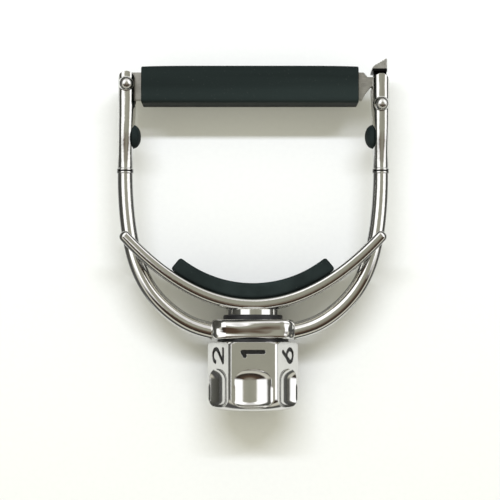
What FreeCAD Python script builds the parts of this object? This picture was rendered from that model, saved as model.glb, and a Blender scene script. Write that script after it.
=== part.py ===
import FreeCAD, Part
import math
import os

# Screw-action guitar capo. A round-rod yoke carries a string bar that hinges on its left post and
# latches on its right post. A forked saddle slides up the yoke, pushed by a screw in a six-sided knob.
# X runs across the guitar's neck, Y along its strings, +Z from the knob towards the string bar.
# The origin is on the screw axis, in the middle of the depth, on the sleeve's flat underside.
# Lengths are millimetres, and pairs are values at two ends. The clearances are the gaps that let
# neighbours move or be put together.

V = FreeCAD.Vector

# ---- driving dimensions: string bar ----
SLEEVE_X = (-26.75, 25.3)
SLEEVE_TOP = 8.95
SLEEVE_DEPTH = 8.0
SLEEVE_EDGE = 0.9
BAR_THICK = 2.4
BAR_Z = (1.1, 7.7)
BAR_NOSE_TOP = 6.6
BAR_NOSE_X = 30.0
BAR_EYE_R = 1.95
BAR_SHOULDER = 1.2

# ---- driving dimensions: posts, pins and latch ----
SEAM_X = 30.75
SEAM_Z = -16.05
POST_TOP_X = {-1: -30.4, 1: 30.8}
POST_TOP_Z = {-1: 7.75, 1: 7.15}
POST_ARCH = 2.1
POST_LOFT_TOP = 8.5
POST_HALF_X = (1.84, 2.1)
POST_HALF_Y = (1.86, 3.2)
POST_POWER = (2.0, 2.9)
SEAM_RING_R = 2.0
SLOT_WIDTH = 2.6
HINGE_PIN = (-30.35, 4.65)
LATCH_PIN = (30.8, -0.2)
PIN_R = 1.0
PIN_HEAD_R = 1.8
PIN_SEAT_Y = 2.9
PIN_HEAD_Y = 3.25
SLOT_BELOW_HINGE = 4.6
SLOT_BELOW_LATCH = 3.9
THUMB_WIDTH = 5.6
BUMPER_Z = -7.75
BUMPER_R = 2.9
BUMPER_TIP_X = 27.0
BUMPER_SEAT_X = 28.95
BUMPER_PLUG = 1.0
BUMPER_PLUG_R = 1.2

# ---- driving dimensions: latch spring ----
SPRING_X = 31.3
SPRING_COIL_R = 0.62
SPRING_WIRE_R = 0.16
SPRING_POCKET_R = 0.88
SPRING_Z = (-6.7, -2.4)
SPRING_TURNS = 5
THUMB_GROOVES = 4
THUMB_GROOVE_R = 0.16

# ---- driving dimensions: yoke ----
ROD_END_R = (1.82, 2.1)
ROD_BEND = [(30.27, -26.15), (28.43, -36.5), (23.64, -46.0), (15.35, -52.74)]
ROD_FOOT_Z = -54.5
BLOCK_HALF_X = 9.8
BLOCK_HALF_Y = 8.3
BLOCK_Z = (-56.4, -51.8)
BLOCK_CORNER = 3.5
SPIGOT_R = 7.6
SPIGOT_BOTTOM = -59.5
BLOCK_BORE_R = 6.8
BLOCK_EDGE = 0.9
TENON_R = 1.3
TENON_LENGTH = 3.5
RING_INNER_R = 7.2
RING_OUTER_R = 8.2
RING_GAP = 1.6
RING_GROOVE_Z = (-58.95, -58.05)
WASHER_R = 8.5

# ---- driving dimensions: saddle column and screw ----
STEM_R = 6.4
STEM_SEAT_Z = -49.4
STEM_BOTTOM_Z = -71.25
STEM_BORE_R = 3.3
STEM_SPIGOT_R = 4.25
INSERT_R = 4.6
INSERT_LENGTH = 7.5
SCREW_R = 3.0
SCREW_TOP_Z = -47.25
BUSH_FLANGE_R = 7.1
BUSH_FLANGE_TOP = -50.65
LEAD_SCREW_SEAT = 0.3
FIXING_R = 1.25
FIXING_HEAD_R = 2.7
FIXING_HEAD_DEPTH = 1.2
FIXING_SUNK = 0.1
FIXING_TOP_Z = -65.5
KEY_R = 0.9

# ---- driving dimensions: knob ----
KNOB_FLATS = 19.0
KNOB_SIDES = 6
KNOB_Z = (-73.15, -57.1)
KNOB_EDGE = 1.0
KNOB_FLOOR = 1.7
KNOB_CAVITY_R = 6.8
KNOB_GROOVE_R = 8.4
KNOB_ENVELOPE_R = 10.77
KNOB_BOTTOM_ROUND = 3.0
KNOB_TOP_BEVEL = (10.2, 0.45)
SCOOP_R = 7.2
SCOOP_DEPTH = 1.4
SCOOP_Z = (-72.4, -62.75)
SCOOP_ENDS = (1.6, 3.3)
LIP_R = 21.0
LIP_DEPTH = 0.52
LIP_Z = (-72.55, -61.95)
LIP_ENDS = (2.0, 6.0)
NUMERAL_Z = -60.3
NUMERAL_HEIGHT = 5.8
NUMERAL_WIDTH = 4.0
NUMERAL_STROKE = 0.95
NUMERAL_DEPTH = 0.5
INLAY_SUNK = 0.22

# ---- driving dimensions: saddle ----
SADDLE_LOW_Z = -46.85
SADDLE_CURVE = 0.0181
SADDLE_TIP_X = 30.2
SADDLE_THICK = (3.1, 2.7)
SADDLE_HALF_Y = 5.7
SADDLE_UPPER_EDGE = 0.8
SADDLE_LOWER_EDGE = 1.5
SADDLE_TIP_ROUND = 1.2
FORK_START_X = 24.0
FORK_SLOT = 6.8
PAD_LOW_Z = -43.2
PAD_ARC_R = 27.2
PAD_TOP_END_X = 17.2
PAD_BOTTOM_END_X = 19.6
PAD_HALF_Y = 5.0
PAD_PEG_X = (-11.0, 11.0)
PAD_PEG_R = 1.4
PAD_PEG_DEPTH = 1.9

# ---- clearances ----
CLEAR_RUN = 0.04
CLEAR_SOFT = 0.03
CLEAR_FACE = 0.05


# ---- basic shapes ----
def block(x, y, z):
    """A box between two values on each axis."""
    corner = V(x[0], y[0], z[0])
    return Part.makeBox(x[1] - x[0], y[1] - y[0], z[1] - z[0], corner)


def upright(radius, z, at=(0.0, 0.0)):
    """A cylinder along Z between two heights."""
    return Part.makeCylinder(radius, z[1] - z[0], V(at[0], at[1], z[0]))


def tube(outer, inner, z):
    """A hollow cylinder about the screw axis."""
    return upright(outer, z).cut(upright(inner, z))


def crosswise(radius, centre, y):
    """A cylinder along Y through a point of the XZ plane."""
    return Part.makeCylinder(radius, y[1] - y[0], V(centre[0], y[0], centre[1]), V(0, 1, 0))


def sideways(radius, x, z):
    """A cylinder along X in the middle of the depth."""
    return Part.makeCylinder(radius, x[1] - x[0], V(x[0], 0, z), V(1, 0, 0))


def plate(outline, half_thick):
    """An XZ outline of (x, z) corners, pulled out evenly to both sides of the mid plane."""
    corners = [V(x, -half_thick, z) for x, z in outline]
    face = Part.Face(Part.makePolygon(corners + corners[:1]))
    return face.extrude(V(0, 2 * half_thick, 0))


def turned(outline):
    """A closed (radius, z) outline turned about the screw axis."""
    corners = [V(r, 0, z) for r, z in outline]
    face = Part.Face(Part.makePolygon(corners + corners[:1]))
    return face.revolve(V(0, 0, 0), V(0, 0, 1), 360)


def smooth_curve(points):
    """An open spline edge through the points."""
    curve = Part.BSplineCurve()
    curve.interpolate(points)
    return curve.toShape()


def rounded(solid, radius, chosen):
    """The solid with the edges that satisfy a test rounded."""
    edges = [edge for edge in solid.Edges if chosen(edge)]
    return solid.makeFillet(radius, edges)


def runs_along(edge, axis):
    """True for a straight edge parallel to an axis."""
    if edge.Curve.TypeId != "Part::GeomLine":
        return False
    return abs(abs(edge.Curve.Direction.dot(axis)) - 1) < 1e-6


def union(solids):
    """One solid from many that touch or overlap."""
    whole = solids[0].fuse(solids[1:]) if len(solids) > 1 else solids[0]
    return whole.removeSplitter()


# ---- string bar ----
def bar_outline():
    """The bar seen from the front: deep up to its hinge eye, with a stepped nose for the latch."""
    low, high = BAR_Z
    hinge_x, hinge_z = HINGE_PIN
    shoulder_x = hinge_x + BAR_SHOULDER
    return [
        (hinge_x, hinge_z - BAR_EYE_R), (shoulder_x, low), (26.3, low),
        (27.2, 2.7), (28.5, 4.3), (29.6, 4.3), (BAR_NOSE_X, 4.7), (BAR_NOSE_X, 6.1),
        (29.5, BAR_NOSE_TOP), (27.6, BAR_NOSE_TOP), (26.7, high), (shoulder_x, high),
        (hinge_x, hinge_z + BAR_EYE_R),
    ]


def bar_core():
    """Flat steel bar with a round hinge eye at its left end."""
    half = BAR_THICK / 2
    eye = crosswise(BAR_EYE_R, HINGE_PIN, (-half, half))
    bar = union([plate(bar_outline(), half), eye])
    return bar.cut(crosswise(PIN_R + CLEAR_RUN, HINGE_PIN, (-half, half)))


def bar_sleeve():
    """Rubber sleeve around the bar, with the flat face that meets the strings."""
    half = SLEEVE_DEPTH / 2
    sleeve = block(SLEEVE_X, (-half, half), (0, SLEEVE_TOP))
    sleeve = rounded(sleeve, SLEEVE_EDGE, lambda edge: runs_along(edge, V(1, 0, 0)))
    half_slot = BAR_THICK / 2 + CLEAR_SOFT
    slot_z = (BAR_Z[0] - CLEAR_SOFT, BAR_Z[1] + CLEAR_SOFT)
    return sleeve.cut(block((SLEEVE_X[0] - 1, SLEEVE_X[1] + 1), (-half_slot, half_slot), slot_z))


# ---- posts ----
def eased(share):
    """A share of the way, limited to 0 to 1, that starts and stops gently."""
    share = min(max(share, 0), 1)
    return share * share * (3 - 2 * share)


def blend(ends, share):
    """The value a share of the way between two ends."""
    return ends[0] + (ends[1] - ends[0]) * share


def post_x(side, z):
    """Centre of a post at a height: it leans a little between the seam and the pin."""
    return blend((side * SEAM_X, POST_TOP_X[side]), eased((z - SEAM_Z) / -SEAM_Z))


def seam_ring(side, low, high):
    """Low bead at the joint between rod and post, with small bevels that leave a groove."""
    ring = upright(SEAM_RING_R, (low, high), (side * SEAM_X, 0))
    return ring.makeChamfer(0.14, [edge for edge in ring.Edges if edge.BoundBox.ZLength < 0.01])


def post_section(x, z, half_x, half_y, power):
    """A level closed curve: an ellipse at power 2, squarer above that."""
    count = 40
    points = []
    for step in range(count):
        angle = 2 * math.pi * step / count
        across, along = math.cos(angle), math.sin(angle)
        reach = (abs(across / half_x) ** power + abs(along / half_y) ** power) ** (-1 / power)
        points.append(V(x + reach * across, reach * along, z))
    curve = Part.BSplineCurve()
    curve.interpolate(points, PeriodicFlag=True)
    return Part.Wire(curve.toShape())


def post_blank(side):
    """Forged post: round at the seam, deep and flat-sided at the top, with an arched end."""
    count = 10
    sections = []
    for step in range(count):
        z = SEAM_Z + (POST_LOFT_TOP - SEAM_Z) * step / (count - 1)
        widen = eased((z - SEAM_Z) / (3.0 - SEAM_Z))
        deepen = eased((z - SEAM_Z - 0.6) / 11.0)
        half_x = blend(POST_HALF_X, widen)
        half_y = blend(POST_HALF_Y, deepen)
        sections.append(post_section(post_x(side, z), z, half_x, half_y, blend(POST_POWER, deepen)))
    blank = union([Part.makeLoft(sections, True), seam_ring(side, SEAM_Z, SEAM_Z + 0.6)])
    top = POST_TOP_Z[side]
    centre = (POST_TOP_X[side], top - POST_ARCH)
    arch = union([
        crosswise(POST_ARCH, centre, (-5, 5)),
        block((centre[0] - 3, centre[0] + 3), (-5, 5), (SEAM_Z - 1, centre[1])),
    ])
    return blank.common(arch)


def post(side, pin, slot_floor):
    """A post with its through slot, pin hole, pin head seats, bumper seat and rod socket."""
    x = side * SEAM_X
    solid = post_blank(side)
    half = SLOT_WIDTH / 2
    solid = solid.cut(block((x - 4, x + 4), (-half, half), (slot_floor, POST_TOP_Z[side] + 1)))
    solid = solid.cut(crosswise(PIN_R, pin, (-5, 5)))
    for face in ((PIN_SEAT_Y, 6), (-6, -PIN_SEAT_Y)):
        solid = solid.cut(crosswise(PIN_HEAD_R, pin, face))
    seat = sorted((side * (BUMPER_SEAT_X + CLEAR_SOFT), side * (BUMPER_SEAT_X - 3)))
    solid = solid.cut(sideways(BUMPER_R + CLEAR_SOFT, seat, BUMPER_Z))
    plug = sorted((side * (BUMPER_SEAT_X - 3), side * (BUMPER_SEAT_X + BUMPER_PLUG + CLEAR_SOFT)))
    solid = solid.cut(sideways(BUMPER_PLUG_R + CLEAR_SOFT, plug, BUMPER_Z))
    return solid.cut(upright(TENON_R, (SEAM_Z, SEAM_Z + TENON_LENGTH), (x, 0)))


def hinge_post():
    """Left post, the fork of the bar's hinge."""
    return post(-1, HINGE_PIN, HINGE_PIN[1] - SLOT_BELOW_HINGE)


def latch_post():
    """Right post, with a blind pocket for the latch spring below its slot."""
    floor = LATCH_PIN[1] - SLOT_BELOW_LATCH
    pocket = upright(SPRING_POCKET_R, (SPRING_Z[0], floor + 0.1), (SPRING_X, 0))
    return post(1, LATCH_PIN, floor).cut(pocket)


def ball_pin(centre):
    """A pin with a ball head at each face of its post."""
    x, z = centre
    parts = [crosswise(PIN_R, centre, (-PIN_SEAT_Y, PIN_SEAT_Y))]
    for side in (-1, 1):
        neck = sorted((side * PIN_SEAT_Y, side * PIN_HEAD_Y))
        parts.append(crosswise(PIN_HEAD_R, centre, neck))
        ball = Part.makeSphere(PIN_HEAD_R, V(x, side * PIN_HEAD_Y, z))
        outer = sorted((side * PIN_HEAD_Y, side * (PIN_HEAD_Y + 3)))
        parts.append(ball.common(block((x - 3, x + 3), outer, (z - 3, z + 3))))
    return union(parts)


def bumper(side):
    """Rubber dome on a plug that presses into the post's inner face."""
    rise = BUMPER_SEAT_X - BUMPER_TIP_X
    sphere_r = (BUMPER_R ** 2 + rise ** 2) / (2 * rise)
    centre = V(side * (BUMPER_TIP_X + sphere_r), 0, BUMPER_Z)
    inner = sorted((side * (BUMPER_TIP_X - 1), side * BUMPER_SEAT_X))
    dome = Part.makeSphere(sphere_r, centre)
    dome = dome.common(sideways(BUMPER_R + 1, inner, BUMPER_Z))
    plug = sorted((side * (BUMPER_SEAT_X - 0.5), side * (BUMPER_SEAT_X + BUMPER_PLUG)))
    return union([dome, sideways(BUMPER_PLUG_R, plug, BUMPER_Z)])


# ---- latch ----
def latch_lever():
    """Flat lever with a hooked notch for the bar's nose and a wide thumb piece above the post."""
    half = BAR_THICK / 2
    floor = LATCH_PIN[1] - SLOT_BELOW_LATCH + CLEAR_FACE
    hook_z = BAR_NOSE_TOP + 0.1
    notch_x = BAR_NOSE_X + 0.15
    lever = plate([
        (29.15, floor), (30.15, floor), (30.15, SPRING_Z[1]), (32.2, SPRING_Z[1]), (32.6, -1.3),
        (32.65, 3.0), (32.2, 5.8), (32.2, 8.2), (29.1, 8.2), (29.1, hook_z), (notch_x, hook_z),
        (notch_x, 3.6), (28.5, 3.6), (28.75, -1.5),
    ], half)
    lever = lever.cut(crosswise(PIN_R + CLEAR_RUN, LATCH_PIN, (-half, half)))
    thumb = plate([
        (28.6, 7.75), (32.25, 7.75), (32.25, 10.6), (32.05, 10.85), (29.4, 9.3), (28.75, 8.7),
    ], THUMB_WIDTH / 2)
    thumb = rounded(thumb, 0.35, lambda edge: runs_along(edge, V(0, 0, 1)))
    for step in range(THUMB_GROOVES):
        centre = (29.8 + 0.52 * step, 9.54 + 0.304 * step)
        groove = crosswise(THUMB_GROOVE_R, centre, (-THUMB_WIDTH, THUMB_WIDTH))
        thumb = thumb.cut(groove)
    return union([lever, thumb])


def latch_spring():
    """Compression spring that pushes the lever's outer shoulder up, holding the hook closed."""
    low = SPRING_Z[0] + SPRING_WIRE_R + 0.02
    high = SPRING_Z[1] - SPRING_WIRE_R - 0.02
    helix = Part.makeHelix((high - low) / SPRING_TURNS, high - low, SPRING_COIL_R)
    wire_section = Part.Wire(Part.makeCircle(SPRING_WIRE_R, V(SPRING_COIL_R, 0, 0), V(0, 1, 0)))
    coil = Part.Wire(helix.Edges).makePipeShell([wire_section], True, True)
    coil.translate(V(SPRING_X, 0, low))
    return coil


# ---- yoke ----
def rod(side):
    """Tapered round rod: it leaves the post almost straight and bends round to the block's side."""
    start = V(side * SEAM_X, 0, SEAM_Z)
    end = V(side * (BLOCK_HALF_X - 1.4), 0, ROD_FOOT_Z - 0.35)
    curve = Part.BSplineCurve()
    points = [start] + [V(side * x, 0, z) for x, z in ROD_BEND] + [end]
    headings = (V(0, 0, -1), V(-side, 0, -0.22))
    curve.interpolate(Points=points, InitialTangent=headings[0], FinalTangent=headings[1])
    sections = []
    for radius, at, heading in zip(ROD_END_R, (start, end), headings):
        sections.append(Part.Wire(Part.makeCircle(radius, at, heading)))
    solid = Part.Wire(curve.toShape()).makePipeShell(sections, True, True)
    solid = solid.cut(block((-BLOCK_HALF_X, BLOCK_HALF_X), (-5, 5), (-60, -50)))
    tenon = upright(TENON_R, (SEAM_Z - 1, SEAM_Z + TENON_LENGTH), (side * SEAM_X, 0))
    foot_x = sorted((side * (BLOCK_HALF_X + 1), side * (BLOCK_HALF_X - 2.4)))
    ring = seam_ring(side, SEAM_Z - 0.7, SEAM_Z)
    return union([solid, ring, tenon, sideways(TENON_R, foot_x, ROD_FOOT_Z)])


def yoke_block():
    """Rounded block with the guide bore, rod sockets and the spigot that the knob turns on."""
    body = block((-BLOCK_HALF_X, BLOCK_HALF_X), (-BLOCK_HALF_Y, BLOCK_HALF_Y), BLOCK_Z)
    body = rounded(body, BLOCK_CORNER, lambda edge: runs_along(edge, V(0, 0, 1)))
    body = body.makeFillet(BLOCK_EDGE, [edge for edge in body.Edges if edge.BoundBox.ZLength < 0.01])
    spigot = upright(SPIGOT_R, (SPIGOT_BOTTOM, BLOCK_Z[0] + 1))
    body = union([body, spigot])
    body = body.cut(upright(BLOCK_BORE_R, (SPIGOT_BOTTOM - 1, BLOCK_Z[1] + 1)))
    body = body.cut(tube(SPIGOT_R + 1, RING_INNER_R, RING_GROOVE_Z))
    for side in (-1, 1):
        body = body.cut(rod(side))
    return body


def guide_bush():
    """Flanged plastic bush that guides the column."""
    body = tube(BLOCK_BORE_R, STEM_R + CLEAR_RUN, (SPIGOT_BOTTOM, BLOCK_Z[1]))
    flange = tube(BUSH_FLANGE_R, STEM_R + CLEAR_RUN, (BLOCK_Z[1], BUSH_FLANGE_TOP))
    top_edges = [edge for edge in flange.Edges if edge.BoundBox.ZMin > BUSH_FLANGE_TOP - 0.01]
    outer = [edge for edge in top_edges if edge.BoundBox.XLength > 2 * BUSH_FLANGE_R - 0.1]
    return union([body, flange.makeFillet(0.4, outer)])


def thrust_washer():
    """Plain washer that the knob pushes against when it is tightened."""
    return tube(WASHER_R, SPIGOT_R + CLEAR_RUN, (KNOB_Z[1] + CLEAR_FACE, BLOCK_Z[0]))


def retaining_ring():
    """Split snap ring in the spigot's groove, which holds the knob on."""
    low, high = RING_GROOVE_Z
    ring = tube(RING_OUTER_R, RING_INNER_R, (low + CLEAR_FACE, high - CLEAR_FACE))
    return ring.cut(block((0, 10), (-RING_GAP / 2, RING_GAP / 2), (low, high)))


# ---- saddle column ----
def stem_tube():
    """Smooth column: swaged into the saddle at the top, holding the nut at the bottom."""
    column = upright(STEM_R, (STEM_BOTTOM_Z, STEM_SEAT_Z))
    rim = [edge for edge in column.Edges if edge.BoundBox.ZMax < STEM_BOTTOM_Z + 0.01]
    column = column.makeChamfer(0.3, rim)
    spigot = upright(STEM_SPIGOT_R, (STEM_SEAT_Z - 1, SADDLE_LOW_Z - 0.1))
    column = union([column, spigot])
    column = column.cut(upright(STEM_BORE_R, (STEM_BOTTOM_Z - 1, SADDLE_LOW_Z + 1)))
    return column.cut(upright(INSERT_R, (STEM_BOTTOM_Z - 1, STEM_BOTTOM_Z + INSERT_LENGTH)))


def thread_insert():
    """Brass nut for the lead screw, pressed into the column's lower end."""
    return tube(INSERT_R, SCREW_R + CLEAR_RUN, (STEM_BOTTOM_Z, STEM_BOTTOM_Z + INSERT_LENGTH))


def knob_floor_top():
    """Height of the knob's inside floor."""
    return KNOB_Z[0] + KNOB_FLOOR


def lead_screw():
    """Screw that stands on the knob's floor and turns with it."""
    low = knob_floor_top() - LEAD_SCREW_SEAT
    screw = upright(SCREW_R, (low, SCREW_TOP_Z))
    rim = [edge for edge in screw.Edges if edge.BoundBox.ZMin > SCREW_TOP_Z - 0.01]
    screw = screw.makeChamfer(0.5, rim)
    return screw.cut(upright(FIXING_R, (low, FIXING_TOP_Z)))


def knob_screw():
    """Countersunk screw through the knob's floor into the lead screw."""
    low = KNOB_Z[0] + FIXING_SUNK
    head_top = low + FIXING_HEAD_DEPTH
    head = turned([(0, low), (FIXING_HEAD_R, low), (FIXING_R, head_top), (0, head_top)])
    shank = upright(FIXING_R, (low + 1, FIXING_TOP_Z))
    screw = union([head, shank])
    key = Part.Face(hexagon(KEY_R, low))
    return screw.cut(key.extrude(V(0, 0, KEY_R)))


# ---- knob ----
def hexagon(corner_r, z):
    """A level six-sided outline with a corner on the X axis."""
    angles = [2 * math.pi * k / KNOB_SIDES for k in range(KNOB_SIDES + 1)]
    return Part.makePolygon([V(corner_r * math.cos(a), corner_r * math.sin(a), z) for a in angles])


def on_knob_face(shape, number):
    """Move a shape from the front face to the face that carries the number."""
    moved = shape.copy()
    moved.rotate(V(0, 0, 0), V(0, 0, 1), -360 / KNOB_SIDES * (number - 1))
    return moved


def knob_blank():
    """Six-sided prism, turned back a little at the top corners and well rounded at the bottom."""
    corner_r = KNOB_FLATS / 2 / math.cos(math.pi / KNOB_SIDES)
    low, high = KNOB_Z
    prism = Part.Face(hexagon(corner_r, low)).extrude(V(0, 0, high - low))
    prism = rounded(prism, KNOB_EDGE, lambda edge: runs_along(edge, V(0, 0, 1)))
    outer = KNOB_ENVELOPE_R
    round_r = KNOB_BOTTOM_ROUND
    short = round_r * (1 - math.sin(math.pi / 4))
    start = V(outer - round_r, 0, low)
    finish = V(outer, 0, low + round_r)
    top_r, bevel = KNOB_TOP_BEVEL
    edges = [
        Part.makeLine(V(0, 0, low), start),
        Part.Arc(start, V(outer - short, 0, low + short), finish).toShape(),
        Part.makeLine(finish, V(outer, 0, high - bevel)),
        Part.makeLine(V(outer, 0, high - bevel), V(top_r, 0, high)),
        Part.makeLine(V(top_r, 0, high), V(0, 0, high)),
        Part.makeLine(V(0, 0, high), V(0, 0, low)),
    ]
    envelope = Part.Face(Part.Wire(edges)).revolve(V(0, 0, 0), V(0, 0, 1), 360)
    return prism.common(envelope)


def trough(radius, depth, z, ends):
    """Cutter for a hollow in the front face: a round groove with softly rounded ends."""
    y = -(KNOB_FLATS / 2 - depth + radius)
    groove = upright(radius, z, (0, y))
    for height, end_r in zip(z, ends):
        groove = rounded(groove, end_r, lambda edge: abs(edge.BoundBox.ZMax - height) < 0.01
                         and edge.BoundBox.ZLength < 0.01)
    return groove


def scoop():
    """Cutter for the finger hollow: a deep trough inside a wide shallow lip."""
    deep = trough(SCOOP_R, SCOOP_DEPTH, SCOOP_Z, SCOOP_ENDS)
    lip = trough(LIP_R, LIP_DEPTH, LIP_Z, LIP_ENDS)
    return deep, lip


def numeral_strokes(number):
    """Centre lines of a numeral: lines (u, v, u, v) and arcs (u, v, radius, from, to in degrees)."""
    top = (NUMERAL_HEIGHT - NUMERAL_STROKE) / 2
    side = (NUMERAL_WIDTH - NUMERAL_STROKE) / 2
    bowl = side - 0.05
    return {
        1: [(0.9, -top, 0.9, top), (0.9, top, 0.0, top - 0.5)],
        2: [(0, top - side, side, -25, 165), (side * 0.9, top - side - 0.7, -side, -top),
            (-side, -top, side, -top)],
        3: [(0, top - 1.2, 1.2, -90, 150), (0, -top + 1.35, 1.35, -150, 90)],
        4: [(0.7, -top, 0.7, top), (0.7, top, -side, -0.9), (-side, -0.9, side, -0.9)],
        5: [(side - 0.3, top, -1.1, top), (-1.1, top, -1.3, 0.35), (0, -top + bowl, bowl, -150, 140)],
        6: [(0, -top + bowl, bowl, 0, 360), (-bowl, -top + bowl, 0.9, top)],
    }[number]


def stroke_solid(stroke, depth):
    """One stroke with round ends, drawn in the UV plane and raised along W."""
    half = NUMERAL_STROKE / 2

    def dot(u, v):
        return Part.makeCylinder(half, depth, V(u, v, 0))

    if len(stroke) == 4:
        u0, v0, u1, v1 = stroke
        length = math.hypot(u1 - u0, v1 - v0)
        bar = Part.makeBox(length, NUMERAL_STROKE, depth, V(0, -half, 0))
        bar.rotate(V(0, 0, 0), V(0, 0, 1), math.degrees(math.atan2(v1 - v0, u1 - u0)))
        bar.translate(V(u0, v0, 0))
        return union([bar, dot(u0, v0), dot(u1, v1)])
    u, v, radius, start, end = stroke
    outer = Part.makeCylinder(radius + half, depth, V(u, v, 0), V(0, 0, 1), end - start)
    inner = Part.makeCylinder(radius - half, depth, V(u, v, 0))
    outer.rotate(V(u, v, 0), V(0, 0, 1), start)
    sector = outer.cut(inner)
    if end - start == 360:
        return sector
    ends = [math.radians(start), math.radians(end)]
    caps = [dot(u + radius * math.cos(angle), v + radius * math.sin(angle)) for angle in ends]
    return union([sector] + caps)


def numeral(number, sunk, depth):
    """A numeral lying on its side in the front face, its top towards the left."""
    solid = union([stroke_solid(stroke, depth) for stroke in numeral_strokes(number)])
    outward = -(KNOB_FLATS / 2 - sunk - depth)
    # U goes up, V goes left and W goes out of the face.
    place = FreeCAD.Matrix(0, -1, 0, 0, 0, 0, -1, outward, 1, 0, 0, NUMERAL_Z, 0, 0, 0, 1)
    return on_knob_face(solid.transformGeometry(place), number)


def knob_shell():
    """The knob: bore for the spigot, cavity for the column, finger hollows and number engraving."""
    low, high = KNOB_Z
    shell = knob_blank()
    for number in range(1, KNOB_SIDES + 1):
        for hollow in scoop():
            shell = shell.cut(on_knob_face(hollow, number))
        shell = shell.cut(numeral(number, -1, NUMERAL_DEPTH + 1))
    shell = shell.cut(upright(SPIGOT_R + 2 * CLEAR_RUN, (SPIGOT_BOTTOM - 0.2, high + 1)))
    shell = shell.cut(upright(KNOB_GROOVE_R, RING_GROOVE_Z))
    shell = shell.cut(upright(KNOB_CAVITY_R, (knob_floor_top(), high + 1)))
    shell = shell.cut(upright(SCREW_R, (knob_floor_top() - LEAD_SCREW_SEAT, high)))
    sink_low = low + FIXING_SUNK
    sink = turned([
        (0, low - 1), (FIXING_HEAD_R, low - 1), (FIXING_HEAD_R, sink_low),
        (FIXING_R, sink_low + FIXING_HEAD_DEPTH), (FIXING_R, high), (0, high),
    ])
    return shell.cut(sink)


def number_inlays():
    """Enamel filling of the engraved numbers 1 to 6, one separate solid for each."""
    fill = NUMERAL_DEPTH - INLAY_SUNK
    numbers = range(1, KNOB_SIDES + 1)
    return Part.makeCompound([numeral(number, INLAY_SUNK, fill) for number in numbers])


# ---- saddle ----
def saddle_top(x):
    """Height of the saddle's upper surface."""
    return SADDLE_LOW_Z + SADDLE_CURVE * x * x


def saddle_under(x):
    """Point of the lower surface, square below the upper surface at x."""
    slope = 2 * SADDLE_CURVE * x
    share = abs(x) / SADDLE_TIP_X
    thick = SADDLE_THICK[0] + (SADDLE_THICK[1] - SADDLE_THICK[0]) * share
    scale = thick / math.hypot(1, slope)
    return (x + slope * scale, saddle_top(x) - scale)


def saddle_band():
    """The curved strip, before its fork slots are cut."""
    xs = [SADDLE_TIP_X * k / 8 for k in range(-8, 9)]
    top = smooth_curve([V(x, -SADDLE_HALF_Y, saddle_top(x)) for x in xs])
    unders = [saddle_under(x) for x in xs]
    bottom = smooth_curve([V(x, -SADDLE_HALF_Y, z) for x, z in unders])
    left = Part.makeLine(bottom.Vertexes[0].Point, top.Vertexes[0].Point)
    right = Part.makeLine(top.Vertexes[-1].Point, bottom.Vertexes[-1].Point)
    face = Part.Face(Part.Wire([left, top, right, bottom]))
    return face.extrude(V(0, 2 * SADDLE_HALF_Y, 0))


def saddle():
    """Saddle with rounded edges, two forked wings and a flat seat for the column."""
    band = saddle_band()
    for radius, is_lower in ((SADDLE_LOWER_EDGE, True), (SADDLE_UPPER_EDGE, False)):
        sides = [edge for edge in band.Edges if edge.BoundBox.XLength > SADDLE_TIP_X]
        sides = [edge for edge in sides if abs(edge.CenterOfMass.y) > SADDLE_HALF_Y - CLEAR_FACE]
        chosen = [edge for edge in sides if (edge.BoundBox.ZMin < SADDLE_LOW_Z - CLEAR_FACE) == is_lower]
        band = band.makeFillet(radius, chosen)
    cross_edges = [edge for edge in band.Edges if runs_along(edge, V(0, 1, 0))]
    tips = [edge for edge in cross_edges if abs(edge.CenterOfMass.x) > SADDLE_TIP_X]
    band = band.makeFillet(SADDLE_TIP_ROUND, tips)
    reach = SADDLE_TIP_X + 4
    heights = (-52, -28)
    plan = block((-reach, reach), (-SADDLE_HALF_Y, SADDLE_HALF_Y), heights)
    half_slot = FORK_SLOT / 2
    for side in (-1, 1):
        arm = sorted((side * (FORK_START_X + half_slot), side * reach))
        plan = plan.cut(block(arm, (-half_slot, half_slot), heights))
        plan = plan.cut(upright(half_slot, heights, (side * (FORK_START_X + half_slot), 0)))
    band = band.common(plan)
    band = band.cut(block((-20, 20), (-8, 8), (-54, STEM_SEAT_Z)))
    band = band.cut(upright(STEM_SPIGOT_R, (-54, -40)))
    for x in PAD_PEG_X:
        hole = (saddle_top(x) - PAD_PEG_DEPTH - 0.1, saddle_top(x) + 10)
        band = band.cut(upright(PAD_PEG_R + CLEAR_SOFT, hole, (x, 0)))
    return band


def saddle_pad():
    """Thick rubber pad with a round hollow for the back of the neck, pegged to the saddle."""
    lift = 2 * CLEAR_SOFT
    centre_z = PAD_LOW_Z + PAD_ARC_R
    end_z = centre_z - math.sqrt(PAD_ARC_R ** 2 - PAD_TOP_END_X ** 2)
    ends = [V(side * PAD_TOP_END_X, -PAD_HALF_Y, end_z) for side in (-1, 1)]
    hollow = Part.Arc(ends[0], V(0, -PAD_HALF_Y, PAD_LOW_Z), ends[1]).toShape()
    xs = [PAD_BOTTOM_END_X * k / 6 for k in range(-6, 7)]
    base = smooth_curve([V(x, -PAD_HALF_Y, saddle_top(x) + lift) for x in xs])
    left = Part.makeLine(base.Vertexes[0].Point, ends[0])
    right = Part.makeLine(ends[1], base.Vertexes[-1].Point)
    face = Part.Face(Part.Wire([left, hollow, right, base]))
    pad = face.extrude(V(0, 2 * PAD_HALF_Y, 0))
    pegs = []
    for x in PAD_PEG_X:
        foot = saddle_top(x) - PAD_PEG_DEPTH
        pegs.append(upright(PAD_PEG_R, (foot, saddle_top(x) + 1.5), (x, 0)))
    return union([pad] + pegs)


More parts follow.
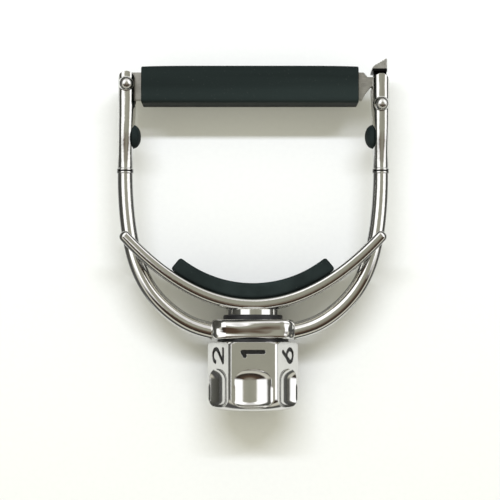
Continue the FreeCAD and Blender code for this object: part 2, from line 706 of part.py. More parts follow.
# ---- write every piece ----
PIECES = {
    "yoke_block": yoke_block(),
    "left_rod": rod(-1),
    "right_rod": rod(1),
    "hinge_post": hinge_post(),
    "latch_post": latch_post(),
    "hinge_pin": ball_pin(HINGE_PIN),
    "latch_pin": ball_pin(LATCH_PIN),
    "left_bumper": bumper(-1),
    "right_bumper": bumper(1),
    "guide_bush": guide_bush(),
    "thrust_washer": thrust_washer(),
    "retaining_ring": retaining_ring(),
    "latch_spring": latch_spring(),
    "bar_core": bar_core(),
    "bar_sleeve": bar_sleeve(),
    "latch_lever": latch_lever(),
    "knob_shell": knob_shell(),
    "number_inlays": number_inlays(),
    "lead_screw": lead_screw(),
    "knob_screw": knob_screw(),
    "saddle": saddle(),
    "saddle_pad": saddle_pad(),
    "stem_tube": stem_tube(),
    "thread_insert": thread_insert(),
}

os.makedirs("parts", exist_ok=True)
for name, shape in PIECES.items():
    shape.exportStep("parts/" + name + ".step")
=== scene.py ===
import bpy
import bmesh
import math
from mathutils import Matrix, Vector


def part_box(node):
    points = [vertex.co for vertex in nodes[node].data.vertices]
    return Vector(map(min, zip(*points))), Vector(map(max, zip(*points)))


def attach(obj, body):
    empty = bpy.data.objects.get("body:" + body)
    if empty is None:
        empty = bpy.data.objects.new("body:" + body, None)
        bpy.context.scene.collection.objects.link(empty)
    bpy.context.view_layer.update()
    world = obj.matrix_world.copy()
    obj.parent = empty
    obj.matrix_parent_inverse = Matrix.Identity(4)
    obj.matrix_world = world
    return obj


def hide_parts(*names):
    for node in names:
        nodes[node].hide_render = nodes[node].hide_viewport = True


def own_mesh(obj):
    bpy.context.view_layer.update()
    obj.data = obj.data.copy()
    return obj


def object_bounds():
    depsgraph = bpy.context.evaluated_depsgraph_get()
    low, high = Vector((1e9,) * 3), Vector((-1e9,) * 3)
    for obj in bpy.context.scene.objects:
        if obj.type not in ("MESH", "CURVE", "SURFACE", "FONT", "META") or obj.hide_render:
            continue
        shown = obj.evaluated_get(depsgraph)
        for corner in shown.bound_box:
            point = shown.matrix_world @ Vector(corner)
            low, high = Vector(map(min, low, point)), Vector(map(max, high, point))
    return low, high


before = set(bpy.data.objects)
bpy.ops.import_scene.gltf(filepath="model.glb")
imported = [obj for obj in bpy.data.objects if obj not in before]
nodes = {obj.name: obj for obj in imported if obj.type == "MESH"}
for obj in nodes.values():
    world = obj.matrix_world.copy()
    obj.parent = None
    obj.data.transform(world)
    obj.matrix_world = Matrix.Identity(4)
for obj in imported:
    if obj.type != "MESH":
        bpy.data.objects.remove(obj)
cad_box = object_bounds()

# Looks for a screw-action guitar capo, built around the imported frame.
# Blender works in metres. Sizes below are written in millimetres and multiplied by MM.
MM = 0.001

# ---- camera and paper ----
CAMERA_TARGET = Vector((-0.7, 0.0, -35.1)) * MM
CAMERA_DISTANCE = 330 * MM
CAMERA_ELEVATION = math.radians(-3.5)
CAMERA_LENS = 99.0
PAPER_GAP = 0.1 * MM
PAPER_HALF = 450 * MM
PAPER_FADE = (150 * MM, 260 * MM)
# The share of the camera's direction along +Y at which the level floor gives way to the upright paper.
FRONT_VIEW = (0.25, 0.35)
# Heights at which the paper's painted reflection changes, towards the knob and towards the posts.
KNOB_ZONE_Z = (-58 * MM, -56 * MM)
POST_ZONE_Z = (-14 * MM, -11 * MM)

# ---- light ----
KEY_ANGLE = math.radians(30)
KEY_DISTANCE = 500 * MM
KEY_SIZE = (520 * MM, 34 * MM)
KEY_POWER = 2.3
KEY_COLOUR = (0.86, 0.90, 1.0)
FILL_COLOUR = (0.74, 0.73, 0.60)

# ---- studio seen in mirrors ----
# Each ramp runs from the axis, which points back past the camera, round to the far side of the object.
# Its stops are (share of half a turn, grey or colour).
STUDIO_TILT = math.radians(12)
STUDIO_AXIS = (math.sin(STUDIO_TILT), 0.0, -math.cos(STUDIO_TILT))
STUDIO_STRENGTH = 1.35
STUDIO_ABOVE = [
    (0.0, (0.24, 0.24, 0.195)), (0.13, (0.27, 0.265, 0.22)), (0.165, 1.0), (0.345, 1.0),
    (0.385, (0.09, 0.09, 0.08)), (0.60, (0.035, 0.035, 0.03)), (0.70, 0.40), (1.0, 0.7),
]
STUDIO_BELOW = [
    (0.0, (0.24, 0.24, 0.195)), (0.10, (0.17, 0.15, 0.12)), (0.16, (0.07, 0.045, 0.03)),
    (0.26, (0.03, 0.022, 0.017)), (0.33, (0.03, 0.022, 0.017)), (0.36, (0.50, 0.49, 0.43)),
    (0.44, (0.42, 0.41, 0.35)), (0.48, 0.05), (0.66, 0.10), (1.0, 0.6),
]
# How much of the upper studio is seen, from straight below the axis to straight above it.
STUDIO_SHARE = [(0.0, 0.0), (0.31, 0.0), (0.45, 1.0), (0.94, 1.0), (0.98, 0.62), (1.0, 0.58)]
# The paper's painted reflection in mirrors, from a grazing view of it to a square one.
PAPER_BESIDE_YOKE = [(0.0, 0.05), (0.62, 0.08), (0.76, 0.50), (1.0, 0.70)]
PAPER_BESIDE_ENDS = [(0.0, 0.06), (0.38, 0.09), (0.46, 0.66), (1.0, 0.70)]

# ---- rubber sleeve on the string bar ----
SLEEVE_CORNER = 0.9 * MM
SLEEVE_END_ROUND = 0.28 * MM
SLEEVE_CROWN = 0.2 * MM
SLEEVE_CROWN_POWER = 6
SLOT_GAP = 0.03 * MM
SLOT_CORNER = 0.15 * MM
SLOT_MOUTH = 0.15 * MM

# ---- rubber pad on the saddle ----
# The saddle's upper surface is SADDLE_TOP + SADDLE_CURVE * x * x, in metres.
PAD_CORNER = 0.75 * MM
PAD_HOLLOW_R = 27.2 * MM
PAD_HOLLOW_Z = -43.2 * MM
PAD_END_SLANT = 2.4 * MM
PAD_LIFT = 0.06 * MM
SADDLE_TOP = -46.85 * MM
SADDLE_CURVE = 18.1

# ---- rubber bumpers ----
# The powers make the dome a little fuller than a ball.
BUMPER_LIP = 0.3 * MM
BUMPER_PLUG = 1.0 * MM
BUMPER_PLUG_R = 1.2 * MM
BUMPER_RADIUS_POWER = 0.92
BUMPER_DEPTH_POWER = 1.15

# ---- latch spring ----
SPRING_WIRE = 0.16 * MM
SPRING_TURNS = 5
SPRING_STEEL = (0.42, 0.42, 0.43)

# ---- dark bands at rest heights: painted shade under the thumb piece, a near-black line at the rod seams ----
SEAM_DARK_Z = (-16.28 * MM, -15.92 * MM)
LEVER_SHADE_Z = (6.4 * MM, 8.4 * MM)
DARK_BAND_EDGE = 0.08 * MM


# ---- shader building ----
def add(tree, kind, inputs=None, **settings):
    """Adds a node. An input given as a socket is joined, anything else is set as its value."""
    node = tree.nodes.new(kind)
    for key, value in settings.items():
        setattr(node, key, value)
    for key, value in (inputs or {}).items():
        if isinstance(value, bpy.types.NodeSocket):
            tree.links.new(value, node.inputs[key])
        else:
            node.inputs[key].default_value = value
    return node


def maths(tree, operation, first, second=0.0):
    """The result of a Math node."""
    return add(tree, "ShaderNodeMath", {0: first, 1: second}, operation=operation).outputs[0]


def dot_product(tree, first, second):
    """The dot product of two vectors."""
    node = add(tree, "ShaderNodeVectorMath", {0: first, 1: second}, operation="DOT_PRODUCT")
    return node.outputs["Value"]


def mapped(tree, value, source, target, smooth=False):
    """A value carried from one range to another and held inside it."""
    node = add(tree, "ShaderNodeMapRange", {0: value, 1: source[0], 2: source[1], 3: target[0], 4: target[1]})
    if smooth:
        node.interpolation_type = "SMOOTHSTEP"
    return node.outputs[0]


def mixed(tree, share, first, second):
    """A colour between two colours."""
    node = add(tree, "ShaderNodeMix", data_type="RGBA")
    for index, value in ((0, share), (6, first), (7, second)):
        if isinstance(value, bpy.types.NodeSocket):
            tree.links.new(value, node.inputs[index])
        else:
            node.inputs[index].default_value = value
    return node.outputs[2]


def ramp(tree, value, stops):
    """A colour that runs through (place, grey or colour) stops."""
    node = add(tree, "ShaderNodeValToRGB", {0: value})
    elements = node.color_ramp.elements
    while len(elements) < len(stops):
        elements.new(0.5)
    for element, (place, colour) in zip(elements, stops):
        element.position = place
        element.color = rgba(colour)
    return node.outputs[0]


def rgba(colour):
    """Four colour numbers from a grey or from three."""
    if isinstance(colour, (int, float)):
        colour = (colour, colour, colour)
    return (*colour, 1.0)


def place_on(tree, stretch=(1, 1, 1)):
    """Position on the object in its own frame, stretched along the axes."""
    spot = add(tree, "ShaderNodeTexCoord").outputs["Object"]
    return add(tree, "ShaderNodeVectorMath", {0: spot, 1: stretch}, operation="MULTIPLY").outputs[0]


def noise(tree, grain, stretch=(1, 1, 1), detail=3.0):
    """Noise whose features are about grain metres wide, from 0 to 1 around 0.5."""
    spot = place_on(tree, stretch)
    node = add(tree, "ShaderNodeTexNoise", {"Vector": spot, "Scale": 1 / grain, "Detail": detail})
    return node.outputs["Fac"]


def bump(tree, height, depth, under=None):
    """A normal that rises and falls by depth metres with the height."""
    inputs = {"Height": height, "Distance": depth, "Strength": 1.0}
    if under is not None:
        inputs["Normal"] = under
    return add(tree, "ShaderNodeBump", inputs).outputs[0]


def finish_material(name):
    """A new material: its node tree and its main shader."""
    material = bpy.data.materials.new(name)
    material.use_nodes = True
    tree = material.node_tree
    shader = next(node for node in tree.nodes if node.type == "BSDF_PRINCIPLED")
    return material, tree, shader


def join(tree, shader, **inputs):
    """Joins or sets the main shader's inputs; underscores stand for spaces."""
    for key, value in inputs.items():
        socket = shader.inputs[key.replace("_", " ")]
        if isinstance(value, bpy.types.NodeSocket):
            tree.links.new(value, socket)
        else:
            socket.default_value = value


# ---- materials ----
def height_band(tree, low, high):
    """1 between two rest heights and 0 away from them."""
    height = add(tree, "ShaderNodeSeparateXYZ", {0: place_on(tree)}).outputs["Z"]
    above = mapped(tree, height, (low - DARK_BAND_EDGE, low + DARK_BAND_EDGE), (0.0, 1.0))
    below = mapped(tree, height, (high - DARK_BAND_EDGE, high + DARK_BAND_EDGE), (1.0, 0.0))
    return maths(tree, "MULTIPLY", above, below)


def polished(name, colour, rough, wave, depth, grain_stretch=(1, 1, 1), edge=0.1 * MM, dark_band=None,
             wave_stretch=(1, 1, 1)):
    """Bright plating with soft waves, hairlines and haze. A band of rest heights, if given, is painted
    near-black; it marks the seam where the rods meet the posts.
    """
    material, tree, shader = finish_material(name)
    soft_edge = add(tree, "ShaderNodeBevel", {"Radius": edge}, samples=6).outputs[0]
    waves = bump(tree, noise(tree, wave, wave_stretch, detail=1.0), depth, soft_edge)
    hairs = noise(tree, 0.12 * MM, grain_stretch, detail=4.0)
    surface = bump(tree, hairs, 0.00025 * MM, waves)
    haze = noise(tree, 5 * MM, detail=4.0)
    spread = mapped(tree, haze, (0.45, 0.75), (rough, rough + 0.07), smooth=True)
    scratch = mapped(tree, hairs, (0.5, 0.8), (0.0, 0.06))
    tint = mapped(tree, haze, (0.3, 0.7), (0.0, 1.0))
    dull = tuple(channel * 0.94 for channel in colour)
    base = mixed(tree, tint, rgba(colour), rgba(dull))
    if dark_band:
        base = mixed(tree, height_band(tree, *dark_band), base, rgba(0.02))
    join(tree, shader, Base_Color=base, Metallic=1.0,
         Roughness=maths(tree, "ADD", spread, scratch), Normal=surface)
    return material


def brushed(name, colour, rough, stretch, edge=0.08 * MM, dark_band=None):
    """Brushed or drawn steel with fine lines and stains. A band of rest heights, if given, is painted
    near-black as painted shade under the latch's thumb piece.
    """
    material, tree, shader = finish_material(name)
    soft_edge = add(tree, "ShaderNodeBevel", {"Radius": edge}, samples=6).outputs[0]
    lines = noise(tree, 0.1 * MM, stretch, detail=5.0)
    stain = noise(tree, 1.6 * MM, detail=5.0)
    surface = bump(tree, lines, 0.004 * MM, soft_edge)
    dark = tuple(channel * 0.62 for channel in colour)
    shade = maths(tree, "ADD", maths(tree, "MULTIPLY", lines, 0.7), maths(tree, "MULTIPLY", stain, 0.5))
    tint = mapped(tree, shade, (0.4, 0.75), (0.0, 1.0))
    base = mixed(tree, tint, rgba(dark), rgba(colour))
    if dark_band:
        base = mixed(tree, height_band(tree, *dark_band), base, rgba(0.012))
    join(tree, shader, Base_Color=base, Metallic=1.0,
         Roughness=mapped(tree, lines, (0.3, 0.7), (rough, rough + 0.16)), Normal=surface)
    return material


def rubber(name, colour, stretch=(1, 1, 1)):
    """Black moulded rubber: fine grain, flow lines, bloom in patches and a trace of dust."""
    material, tree, shader = finish_material(name)
    grain = noise(tree, 0.16 * MM, detail=4.0)
    flow = noise(tree, 0.5 * MM, stretch, detail=3.0)
    bloom = noise(tree, 7 * MM, stretch, detail=4.0)
    dust = mapped(tree, noise(tree, 0.35 * MM, detail=6.0), (0.67, 0.74), (0.0, 0.35))
    pale = tuple(channel * 1.7 + 0.004 for channel in colour)
    base = mixed(tree, mapped(tree, bloom, (0.35, 0.7), (0.0, 1.0)), rgba(colour), rgba(pale))
    base = mixed(tree, dust, base, rgba((0.11, 0.11, 0.10)))
    surface = bump(tree, grain, 0.012 * MM, bump(tree, flow, 0.02 * MM))
    join(tree, shader, Base_Color=base, Normal=surface, Specular_IOR_Level=0.17,
         Roughness=mapped(tree, grain, (0.3, 0.7), (0.52, 0.72)))
    return material


def plastic(name, colour, rough, grain):
    """Turned or moulded black plastic with a satin skin."""
    material, tree, shader = finish_material(name)
    skin = noise(tree, grain, detail=3.0)
    pale = tuple(channel * 1.8 for channel in colour)
    join(tree, shader, Base_Color=mixed(tree, skin, rgba(colour), rgba(pale)),
         Roughness=mapped(tree, skin, (0.3, 0.7), (rough, rough + 0.14)), Normal=bump(tree, skin, 0.006 * MM))
    return material


def enamel(name):
    """Black paint wiped into the engraving, with a few pin holes."""
    material, tree, shader = finish_material(name)
    skin = noise(tree, 0.4 * MM, detail=2.0)
    holes = mapped(tree, noise(tree, 0.09 * MM, detail=2.0), (0.72, 0.78), (0.0, 1.0))
    join(tree, shader, Base_Color=mixed(tree, holes, rgba((0.006, 0.006, 0.006)), rgba((0.06, 0.06, 0.055))),
         Roughness=mapped(tree, skin, (0.3, 0.7), (0.25, 0.5)), Normal=bump(tree, skin, 0.01 * MM))
    return material


def turned_brass(name):
    """Machined brass with lathe rings and a little tarnish."""
    material, tree, shader = finish_material(name)
    rings = noise(tree, 0.12 * MM, (0.05, 0.05, 1.0), detail=3.0)
    tarnish = noise(tree, 2 * MM, detail=4.0)
    base = mixed(tree, mapped(tree, tarnish, (0.4, 0.7), (0.0, 1.0)), rgba((0.80, 0.58, 0.25)),
                 rgba((0.47, 0.31, 0.13)))
    join(tree, shader, Base_Color=base, Metallic=1.0, Roughness=mapped(tree, rings, (0.3, 0.7), (0.18, 0.34)),
         Normal=bump(tree, rings, 0.004 * MM))
    return material


def make_finishes():
    """The finish of every carried-over node, by node name."""
    chrome = (0.86, 0.855, 0.83)
    forged = polished("forged_chrome", chrome, 0.035, 5.0 * MM, 0.012 * MM)
    # The posts and rods carry a near-black band at the height of their seam.
    post = polished("post_chrome", chrome, 0.035, 5.0 * MM, 0.012 * MM, dark_band=SEAM_DARK_Z)
    drawn = polished("drawn_chrome", chrome, 0.03, 9.0 * MM, 0.006 * MM, (1, 1, 0.05), dark_band=SEAM_DARK_Z)
    faced = polished("faced_chrome", chrome, 0.10, 3.0 * MM, 0.03 * MM, (1, 1, 0.08), 0.16 * MM)
    ball = polished("ball_chrome", chrome, 0.2, 2.5 * MM, 0.003 * MM)
    cast = polished("cast_chrome", chrome, 0.05, 3.4 * MM, 1.5 * MM, wave_stretch=(0.3, 1, 1))
    bar = brushed("brushed_bar_steel", (0.55, 0.54, 0.50), 0.30, (0.05, 1, 1))
    # The lever's near-black band lies under its thumb piece: painted shade.
    lever = brushed("brushed_lever_steel", (0.66, 0.65, 0.62), 0.26, (1, 1, 0.05), dark_band=LEVER_SHADE_Z)
    screw = brushed("turned_screw_steel", (0.60, 0.59, 0.57), 0.24, (0.1, 0.1, 1))
    ring = brushed("drawn_spring_wire", SPRING_STEEL, 0.25, (1, 1, 0.2))
    nylon = plastic("satin_black_nylon", (0.010, 0.010, 0.011), 0.36, 0.5 * MM)
    finishes = {
        forged: ["saddle"],
        post: ["hinge_post", "latch_post"],
        drawn: ["left_rod", "right_rod", "stem_tube"],
        faced: ["knob_shell"],
        ball: ["hinge_pin", "latch_pin"],
        cast: ["yoke_block"],
        bar: ["bar_core"],
        lever: ["latch_lever"],
        screw: ["lead_screw", "knob_screw"],
        ring: ["retaining_ring"],
        nylon: ["guide_bush", "thrust_washer"],
        enamel("black_number_enamel"): ["number_inlays"],
        turned_brass("machined_brass"): ["thread_insert"],
    }
    return {node: material for material, members in finishes.items() for node in members}


# ---- rubber meshes ----
def soft_rectangle(half_a, half_b, radius, per_corner=6, per_side=6):
    """Points round a rectangle with round corners, evenly spread along its sides."""
    points = []
    corners = ((1, 1, 0), (-1, 1, 90), (-1, -1, 180), (1, -1, 270))
    for index, (side_a, side_b, start) in enumerate(corners):
        centre = (side_a * (half_a - radius), side_b * (half_b - radius))
        for step in range(per_corner + 1):
            angle = math.radians(start + 90 * step / per_corner)
            points.append((centre[0] + radius * math.cos(angle), centre[1] + radius * math.sin(angle)))
        following = corners[(index + 1) % 4]
        after = (following[0] * (half_a - radius), following[1] * (half_b - radius))
        angle = math.radians(following[2])
        target = (after[0] + radius * math.cos(angle), after[1] + radius * math.sin(angle))
        last = points[-1]
        for step in range(1, per_side):
            share = step / per_side
            points.append((last[0] + (target[0] - last[0]) * share, last[1] + (target[1] - last[1]) * share))
    return points


def skin(name, rings, closed):
    """A mesh over equal rings of points, with its last ring joined to its first or with end caps."""
    mesh = bmesh.new()
    made = [[mesh.verts.new(point) for point in ring] for ring in rings]
    pairs = list(zip(made, made[1:]))
    if closed:
        pairs.append((made[-1], made[0]))
    count = len(rings[0])
    for one, two in pairs:
        for index in range(count):
            after = (index + 1) % count
            mesh.faces.new((one[index], one[after], two[after], two[index]))
    if not closed:
        mesh.faces.new(made[0])
        mesh.faces.new(made[-1])
    bmesh.ops.recalc_face_normals(mesh, faces=mesh.faces)
    data = bpy.data.meshes.new(name)
    mesh.to_mesh(data)
    mesh.free()
    data.shade_smooth()
    piece = bpy.data.objects.new(name, data)
    bpy.context.scene.collection.objects.link(piece)
    return piece


def round_end(length, steps=5):
    """(distance from the end, inset) pairs that round an end by a radius."""
    pairs = []
    for step in range(steps + 1):
        angle = math.pi / 2 * step / steps
        pairs.append((length * (1 - math.sin(angle)), length * (1 - math.cos(angle))))
    return pairs


def sleeve_ring(x, inset, low, high):
    """One section of the sleeve: a crowned top that falls off towards both ends."""
    middle = (low.x + high.x) / 2
    share = abs(x - middle) / ((high.x - low.x) / 2)
    top = high.z - SLEEVE_CROWN * share ** SLEEVE_CROWN_POWER
    centre_z = (low.z + top) / 2
    section = soft_rectangle(high.y - inset, (top - low.z) / 2 - inset, SLEEVE_CORNER - inset)
    return [Vector((x, y, centre_z + z)) for y, z in section]


def bar_sleeve():
    """Extruded rubber sleeve: rounded outside, open ends with the bar's slot through it."""
    low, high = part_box("bar_sleeve")
    core_low, core_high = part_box("bar_core")
    slot_z = (core_low.z + core_high.z) / 2
    slot_half_y = core_high.y + SLOT_GAP
    slot_half_z = (core_high.z - core_low.z) / 2 + SLOT_GAP
    slot = soft_rectangle(slot_half_y, slot_half_z, SLOT_CORNER)
    rounding = round_end(SLEEVE_END_ROUND)
    rings = [[Vector((low.x + SLOT_MOUTH, y, slot_z + z)) for y, z in slot]]
    for distance, inset in reversed(rounding):
        rings.append(sleeve_ring(low.x + distance, inset, low, high))
    count = 48
    for step in range(1, count):
        x = low.x + SLEEVE_END_ROUND + (high.x - low.x - 2 * SLEEVE_END_ROUND) * step / count
        rings.append(sleeve_ring(x, 0, low, high))
    for distance, inset in rounding:
        rings.append(sleeve_ring(high.x - distance, inset, low, high))
    rings.append([Vector((high.x - SLOT_MOUTH, y, slot_z + z)) for y, z in slot])
    return skin("rubber_bar_sleeve", rings, closed=True)


def pad_curves():
    """The pad's upper hollow and its base on the saddle, as functions of a share from -1 to 1."""
    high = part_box("saddle_pad")[1]
    base_end = high.x
    hollow_end = base_end - PAD_END_SLANT

    def hollow(share):
        x = hollow_end * share
        return Vector((x, 0, PAD_HOLLOW_Z + PAD_HOLLOW_R - math.sqrt(PAD_HOLLOW_R ** 2 - x ** 2)))

    def base(share):
        x = base_end * share
        return Vector((x, 0, SADDLE_TOP + PAD_LIFT + SADDLE_CURVE * x * x))

    return hollow, base, high.y


def pad_ring(hollow, base, half_y, share, inset, along):
    """One section of the pad, square to its curve."""
    top, bottom = hollow(share), base(share)
    up = (top - bottom).normalized()
    sideways = Vector((up.z, 0, -up.x))
    middle = (top + bottom) / 2 + sideways * along
    half = (top - bottom).length / 2
    section = soft_rectangle(half_y - inset, half - inset, PAD_CORNER - inset * 0.8)
    return [middle + Vector((0, a, 0)) + up * b for a, b in section]


def saddle_pad():
    """Moulded rubber pad with a round hollow, rounded along its edges and at its ends."""
    hollow, base, half_y = pad_curves()
    half_length = (base(1) - base(0)).length
    reach = 1 - PAD_CORNER / half_length
    rings = []
    rounding = round_end(PAD_CORNER)
    for distance, inset in reversed(rounding):
        rings.append(pad_ring(hollow, base, half_y, -reach, inset * 0.9, distance - PAD_CORNER))
    count = 72
    for step in range(1, count):
        share = -reach + 2 * reach * step / count
        rings.append(pad_ring(hollow, base, half_y, share, 0, 0))
    for distance, inset in rounding:
        rings.append(pad_ring(hollow, base, half_y, reach, inset * 0.9, PAD_CORNER - distance))
    return skin("rubber_saddle_pad", rings, closed=False)


def bumper_outline(full, depth):
    """(radius, distance from the tip) pairs: a full dome, a lip that stands out, and the plug."""
    seat = depth - BUMPER_PLUG
    dome = seat - BUMPER_LIP
    outline = [(0.02 * full, 0.0)]
    steps = 14
    for step in range(1, steps + 1):
        angle = math.pi / 2 * step / steps
        radius = full * 0.97 * math.sin(angle) ** BUMPER_RADIUS_POWER
        outline.append((radius, dome * (1 - math.cos(angle) ** BUMPER_DEPTH_POWER)))
    outline += [(full * 0.985, seat - BUMPER_LIP * 0.9), (full, seat - BUMPER_LIP * 0.6), (full, seat)]
    outline += [(BUMPER_PLUG_R, seat), (BUMPER_PLUG_R, depth)]
    return outline


def bumper(node, name):
    """Rubber dome with a thin lip against the post, turned about its own axis."""
    low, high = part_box(node)
    side = -1 if low.x < 0 else 1
    tip = high.x if side < 0 else low.x
    root = low.x if side < 0 else high.x
    centre_z = (low.z + high.z) / 2
    outline = bumper_outline((high.z - low.z) / 2, abs(root - tip))
    count = 56
    rings = []
    for radius, along in outline:
        ring = []
        for index in range(count):
            angle = 2 * math.pi * index / count
            y = radius * math.cos(angle)
            ring.append(Vector((tip + side * along, y, centre_z + radius * math.sin(angle))))
        rings.append(ring)
    return skin(name, rings, closed=False)


def latch_spring():
    """The latch's coil spring as a mesh."""
    low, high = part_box("latch_spring")
    centre = (low + high) / 2
    coil = (high.x - low.x) / 2 - SPRING_WIRE
    start = low.z + SPRING_WIRE
    rise = high.z - low.z - 2 * SPRING_WIRE
    steps = SPRING_TURNS * 28
    around = 10
    rings = []
    for step in range(steps + 1):
        share = step / steps
        turn = 2 * math.pi * SPRING_TURNS * share
        outward = Vector((math.cos(turn), math.sin(turn), 0))
        middle = Vector((centre.x, centre.y, start + rise * share)) + outward * coil
        ring = []
        for corner in range(around):
            angle = 2 * math.pi * corner / around
            across = outward * math.cos(angle) + Vector((0, 0, math.sin(angle)))
            ring.append(middle + across * SPRING_WIRE)
        rings.append(ring)
    return skin("coil_latch_spring", rings, closed=False)


def make_spring():
    """The spring as its own mesh, fixed to the frame in place of its CAD solid."""
    piece = latch_spring()
    piece.data.materials.append(brushed("drawn_latch_wire", SPRING_STEEL, 0.25, (1, 1, 0.2)))
    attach(piece, "frame")
    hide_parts("latch_spring")
    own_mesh(piece)


def make_rubber():
    """The soft pieces, each in place of its plain CAD solid."""
    extruded = rubber("extruded_black_rubber", (0.0075, 0.0125, 0.0120), (0.04, 1, 1))
    moulded = rubber("moulded_black_rubber", (0.0085, 0.0135, 0.0135))
    pieces = (
        (bar_sleeve(), "bar_sleeve", "bar", extruded),
        (saddle_pad(), "saddle_pad", "saddle", moulded),
        (bumper("left_bumper", "rubber_left_bumper"), "left_bumper", "frame", moulded),
        (bumper("right_bumper", "rubber_right_bumper"), "right_bumper", "frame", moulded),
    )
    for piece, node, body, material in pieces:
        piece.data.materials.append(material)
        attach(piece, body)
        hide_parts(node)


# ---- studio ----
def looking(tree):
    """The direction in which the camera looks, in the row frame."""
    node = add(tree, "ShaderNodeVectorTransform", {0: (0, 0, 1)}, vector_type="VECTOR",
               convert_from="CAMERA", convert_to="WORLD")
    return add(tree, "ShaderNodeSeparateXYZ", {0: node.outputs[0]}).outputs


def mirrored_paper(tree, geometry):
    """A painted reflection: the paper as mirrors see it, darker at a grazing view, and paler beside the posts
    and the knob.
    """
    facing = dot_product(tree, geometry["Incoming"], geometry["Normal"])
    beside_yoke = ramp(tree, facing, PAPER_BESIDE_YOKE)
    beside_ends = ramp(tree, facing, PAPER_BESIDE_ENDS)
    height = add(tree, "ShaderNodeSeparateXYZ", {0: geometry["Position"]}).outputs["Z"]
    ends = maths(tree, "ADD", mapped(tree, height, KNOB_ZONE_Z, (1.0, 0.0)),
                 mapped(tree, height, POST_ZONE_Z, (0.0, 1.0)))
    seen = mixed(tree, ends, beside_yoke, beside_ends)
    return add(tree, "ShaderNodeBsdfDiffuse", {"Color": seen}).outputs[0]


def paper_material(name, shown):
    """White matte paper that fades out with distance; shown says how present it is from a view."""
    material, tree, shader = finish_material(name)
    tree.nodes.remove(shader)
    output = next(node for node in tree.nodes if node.type == "OUTPUT_MATERIAL")
    path = add(tree, "ShaderNodeLightPath").outputs
    geometry = add(tree, "ShaderNodeNewGeometry").outputs
    spot = add(tree, "ShaderNodeTexCoord").outputs["Object"]
    radius = add(tree, "ShaderNodeVectorMath", {0: spot}, operation="LENGTH").outputs["Value"]
    near = mapped(tree, radius, PAPER_FADE, (1.0, 0.0), smooth=True)
    fibre = noise(tree, 1.2 * MM, detail=6.0)
    colour = mixed(tree, fibre, rgba((0.80, 0.80, 0.80)), rgba((0.84, 0.84, 0.835)))
    matte = add(tree, "ShaderNodeBsdfDiffuse", {"Color": colour}).outputs[0]
    mirrored = mirrored_paper(tree, geometry)
    # Glossy rays see the paper's painted reflection, not the lit paper.
    surface = add(tree, "ShaderNodeMixShader", {0: path["Is Glossy Ray"], 1: matte, 2: mirrored}).outputs[0]
    clear = add(tree, "ShaderNodeBsdfTransparent").outputs[0]
    present = maths(tree, "MULTIPLY", near, shown(tree))
    whole = add(tree, "ShaderNodeMixShader", {0: present, 1: clear, 2: surface}).outputs[0]
    tree.links.new(whole, output.inputs["Surface"])
    return material


def sheet(name, location, rotation, material):
    """A square of paper."""
    data = bpy.data.meshes.new(name)
    half = PAPER_HALF
    corners = [(-half, -half, 0), (half, -half, 0), (half, half, 0), (-half, half, 0)]
    data.from_pydata(corners, [], [(0, 1, 2, 3)])
    data.materials.append(material)
    piece = bpy.data.objects.new(name, data)
    piece.location = location
    piece.rotation_euler = rotation
    bpy.context.scene.collection.objects.link(piece)


def make_paper():
    """The paper that the capo lies on for front views, and a level floor for the other views."""
    low, high = cad_box

    def from_front(tree):
        return mapped(tree, looking(tree)["Y"], FRONT_VIEW, (0.0, 1.0))

    def from_elsewhere(tree):
        return mapped(tree, looking(tree)["Y"], FRONT_VIEW, (1.0, 0.0))

    middle = (low + high) / 2
    behind = Vector((middle.x, high.y + PAPER_GAP, middle.z))
    below = Vector((middle.x, middle.y, low.z - PAPER_GAP))
    sheet("paper", behind, (math.pi / 2, 0, 0), paper_material("white_paper", from_front))
    sheet("floor", below, (0, 0, 0), paper_material("pale_floor", from_elsewhere))


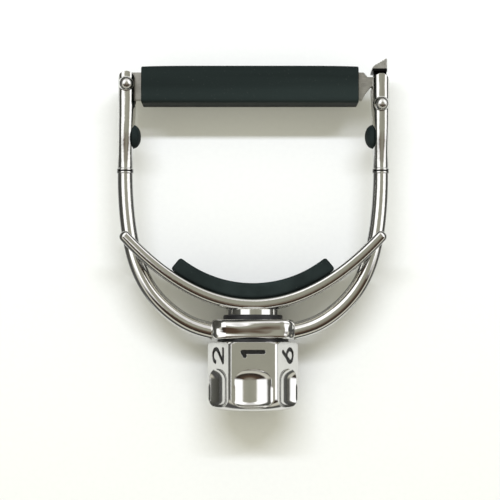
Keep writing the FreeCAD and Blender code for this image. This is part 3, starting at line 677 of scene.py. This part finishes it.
def mirror_studio(tree):
    """Soft boxes and dark gaps round an axis fixed to the camera, so chrome looks alike from any side."""
    direction = add(tree, "ShaderNodeTexCoord").outputs["Generated"]
    seen = add(tree, "ShaderNodeVectorTransform", {0: direction}, vector_type="VECTOR",
               convert_from="WORLD", convert_to="CAMERA").outputs[0]
    seen = add(tree, "ShaderNodeVectorMath", {0: seen}, operation="NORMALIZE").outputs[0]
    towards = dot_product(tree, seen, STUDIO_AXIS)
    angle = maths(tree, "DIVIDE", maths(tree, "ARCCOSINE", towards), math.pi)
    aside = maths(tree, "SQRT", maths(tree, "SUBTRACT", 1.0, maths(tree, "POWER", towards, 2.0)))
    up = add(tree, "ShaderNodeSeparateXYZ", {0: seen}).outputs["Y"]
    rise = maths(tree, "DIVIDE", up, maths(tree, "MAXIMUM", aside, 0.001))
    share = ramp(tree, mapped(tree, rise, (-1.0, 1.0), (0.0, 1.0)), STUDIO_SHARE)
    studio = mixed(tree, share, ramp(tree, angle, STUDIO_BELOW), ramp(tree, angle, STUDIO_ABOVE))
    scaled = add(tree, "ShaderNodeVectorMath", {0: studio, "Scale": STUDIO_STRENGTH}, operation="SCALE")
    return scaled.outputs[0]


def make_world():
    """White for the camera, an even warm fill for matte surfaces, and a soft-box studio for mirrors."""
    world = bpy.data.worlds.new("studio")
    bpy.context.scene.world = world
    world.use_nodes = True
    tree = world.node_tree
    backdrop = next(node for node in tree.nodes if node.type == "BACKGROUND")
    path = add(tree, "ShaderNodeLightPath").outputs
    colour = mixed(tree, path["Is Glossy Ray"], rgba(FILL_COLOUR), mirror_studio(tree))
    colour = mixed(tree, path["Is Camera Ray"], colour, rgba(1.0))
    tree.links.new(colour, backdrop.inputs["Color"])


def make_key(name, side):
    """A long narrow soft box, square to the object, above the front or the back."""
    data = bpy.data.lights.new(name, "AREA")
    data.shape = "RECTANGLE"
    data.size, data.size_y = KEY_SIZE
    data.energy = KEY_POWER
    data.color = KEY_COLOUR
    lamp = bpy.data.objects.new(name, data)
    target = (cad_box[0] + cad_box[1]) / 2
    away = Vector((0, side * math.cos(KEY_ANGLE), math.sin(KEY_ANGLE)))
    lamp.location = target + away * KEY_DISTANCE
    lamp.rotation_euler = away.to_track_quat("Z", "Y").to_euler()
    lamp.visible_glossy = False
    bpy.context.scene.collection.objects.link(lamp)


def make_camera():
    """The camera in front of the capo, a little below its middle."""
    data = bpy.data.cameras.new("camera")
    data.lens = CAMERA_LENS
    camera = bpy.data.objects.new("camera", data)
    back = Vector((0, -math.cos(CAMERA_ELEVATION), math.sin(CAMERA_ELEVATION)))
    camera.location = CAMERA_TARGET + back * CAMERA_DISTANCE
    camera.rotation_euler = back.to_track_quat("Z", "Y").to_euler()
    bpy.context.scene.collection.objects.link(camera)
    bpy.context.scene.camera = camera


for node, material in make_finishes().items():
    for slot in nodes[node].material_slots:
        slot.material = material
make_rubber()
make_spring()
make_paper()
make_world()
make_key("key_front", -1)
make_key("key_back", 1)
make_camera()
bpy.context.scene.view_settings.view_transform = "Standard"
